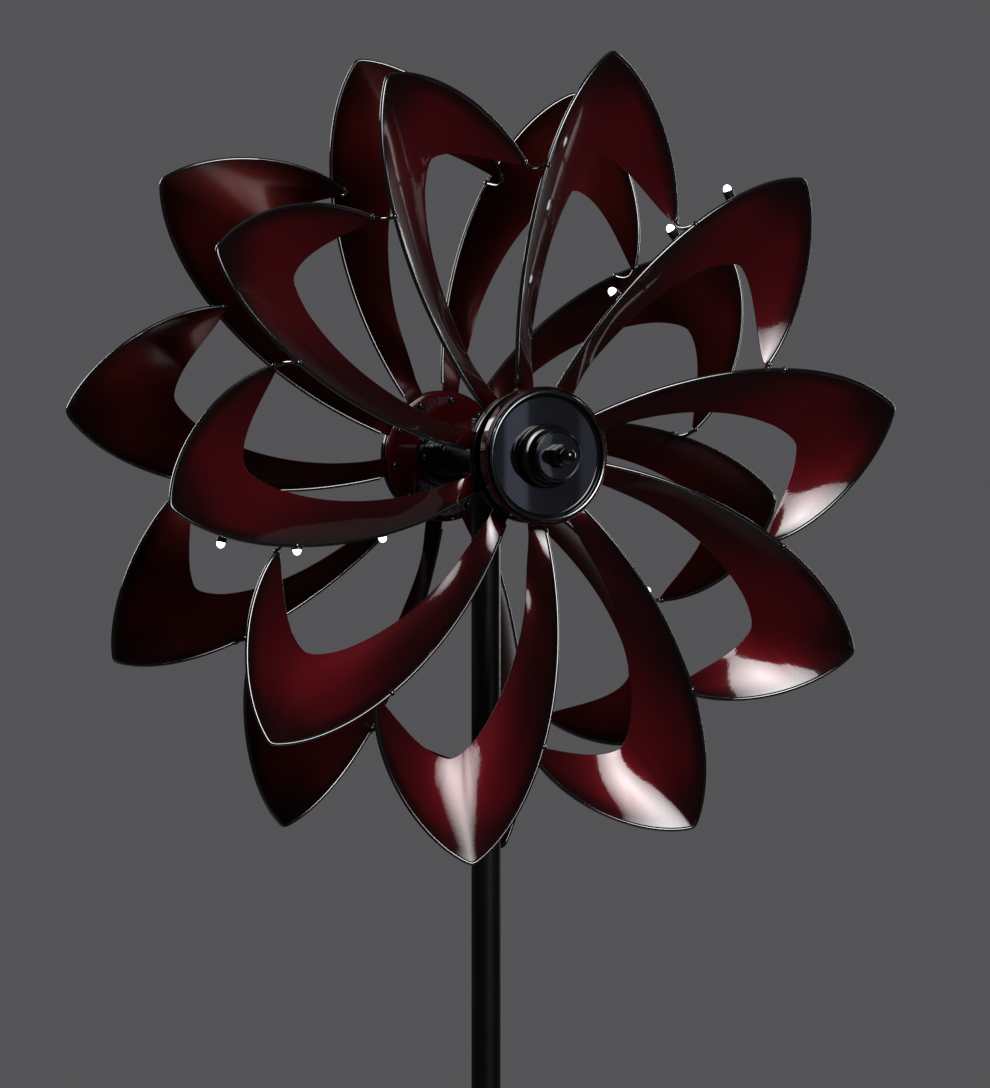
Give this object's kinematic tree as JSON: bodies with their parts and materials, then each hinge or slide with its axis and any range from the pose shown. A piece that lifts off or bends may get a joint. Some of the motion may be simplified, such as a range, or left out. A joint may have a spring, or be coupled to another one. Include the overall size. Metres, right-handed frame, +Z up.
{
  "type": "garden wind spinner",
  "caption": "Twin-rotor garden wind spinner on a pole with a ground stake: hooked petals turn opposite ways on one axle, and a hub generator feeds small lamps.",
  "frame": {"origin": "middle of the step plate's underside, on the pole's axis, where the stake meets the ground", "axes": "+Z up along the pole; -Y is the front, which the drum and the finial face; +Y is the rear rotor's side; +X is to the right seen from the front"},
  "size_m": [0.6126, 0.2349, 2.1023],
  "materials": {
    "front_petal_red": "candy lacquer, black at the rims, glossy",
    "rear_petal_red": "darker candy lacquer, black at the rims, glossy",
    "hub_red": "candy lacquer, glossy",
    "satin_black": "powder coat, semi-gloss",
    "gloss_black": "gloss lacquer",
    "dark_chrome": "smoked, polished",
    "zinc_steel": "zinc plated",
    "coil_copper": "enamelled copper winding",
    "lamp_wire": "insulated wire",
    "lamp_body": "moulded"
  },
  "bodies": {
    "stand": {"ground_stake": "satin_black", "lower_pole": "satin_black", "middle_pole": "satin_black", "upper_pole": "satin_black", "pole_cap": "satin_black", "lower_joint_screw": "zinc_steel", "middle_joint_screw": "zinc_steel", "axle_set_screw": "zinc_steel", "axle": "zinc_steel", "magnet_core": "zinc_steel", "finial_nut": "gloss_black", "rear_axle_nut": "zinc_steel"},
    "front_rotor": {"front_hub_barrel": "satin_black", "front_inner_bearing": "zinc_steel", "front_outer_bearing": "zinc_steel", "front_hub_plate": "hub_red", "front_clamp_ring": "satin_black", "front_drum": "hub_red", "coil_ring": "coil_copper", "front_cap": "gloss_black", "trim_ring": "dark_chrome", "front_boss": "gloss_black", "front_petal_01": "front_petal_red", "front_petal_02": "front_petal_red", "front_petal_03": "front_petal_red", "front_petal_04": "front_petal_red", "front_petal_05": "front_petal_red", "front_petal_06": "front_petal_red", "front_petal_07": "front_petal_red", "front_petal_08": "front_petal_red", "front_petal_09": "front_petal_red", "front_petal_10": "front_petal_red", "lamp_wire_1": "lamp_wire", "lamp_wire_2": "lamp_wire", "lamp_wire_3": "lamp_wire", "lamp_1_inner": "lamp_body", "lamp_1_middle": "lamp_body", "lamp_1_outer": "lamp_body", "lamp_2_inner": "lamp_body", "lamp_2_middle": "lamp_body", "lamp_2_outer": "lamp_body", "lamp_3_inner": "lamp_body", "lamp_3_middle": "lamp_body", "lamp_3_outer": "lamp_body"},
    "rear_rotor": {"rear_hub_barrel": "satin_black", "rear_inner_bearing": "zinc_steel", "rear_outer_bearing": "zinc_steel", "rear_hub_plate": "hub_red", "rear_clamp_ring": "satin_black", "rear_cap": "gloss_black", "rear_petal_01": "rear_petal_red", "rear_petal_02": "rear_petal_red", "rear_petal_03": "rear_petal_red", "rear_petal_04": "rear_petal_red", "rear_petal_05": "rear_petal_red", "rear_petal_06": "rear_petal_red", "rear_petal_07": "rear_petal_red", "rear_petal_08": "rear_petal_red", "rear_petal_09": "rear_petal_red", "rear_petal_10": "rear_petal_red"}
  },
  "joints": [
    {"name": "front_rotor_spin", "type": "hinge", "parent": "stand", "child": "front_rotor", "pos_m": [0, -0.0635, 1.6], "axis": [0, 1, 0], "continuous": true},
    {"name": "rear_rotor_spin", "type": "hinge", "parent": "stand", "child": "rear_rotor", "pos_m": [0, 0.0635, 1.6], "axis": [0, 1, 0], "continuous": true}
  ]
}
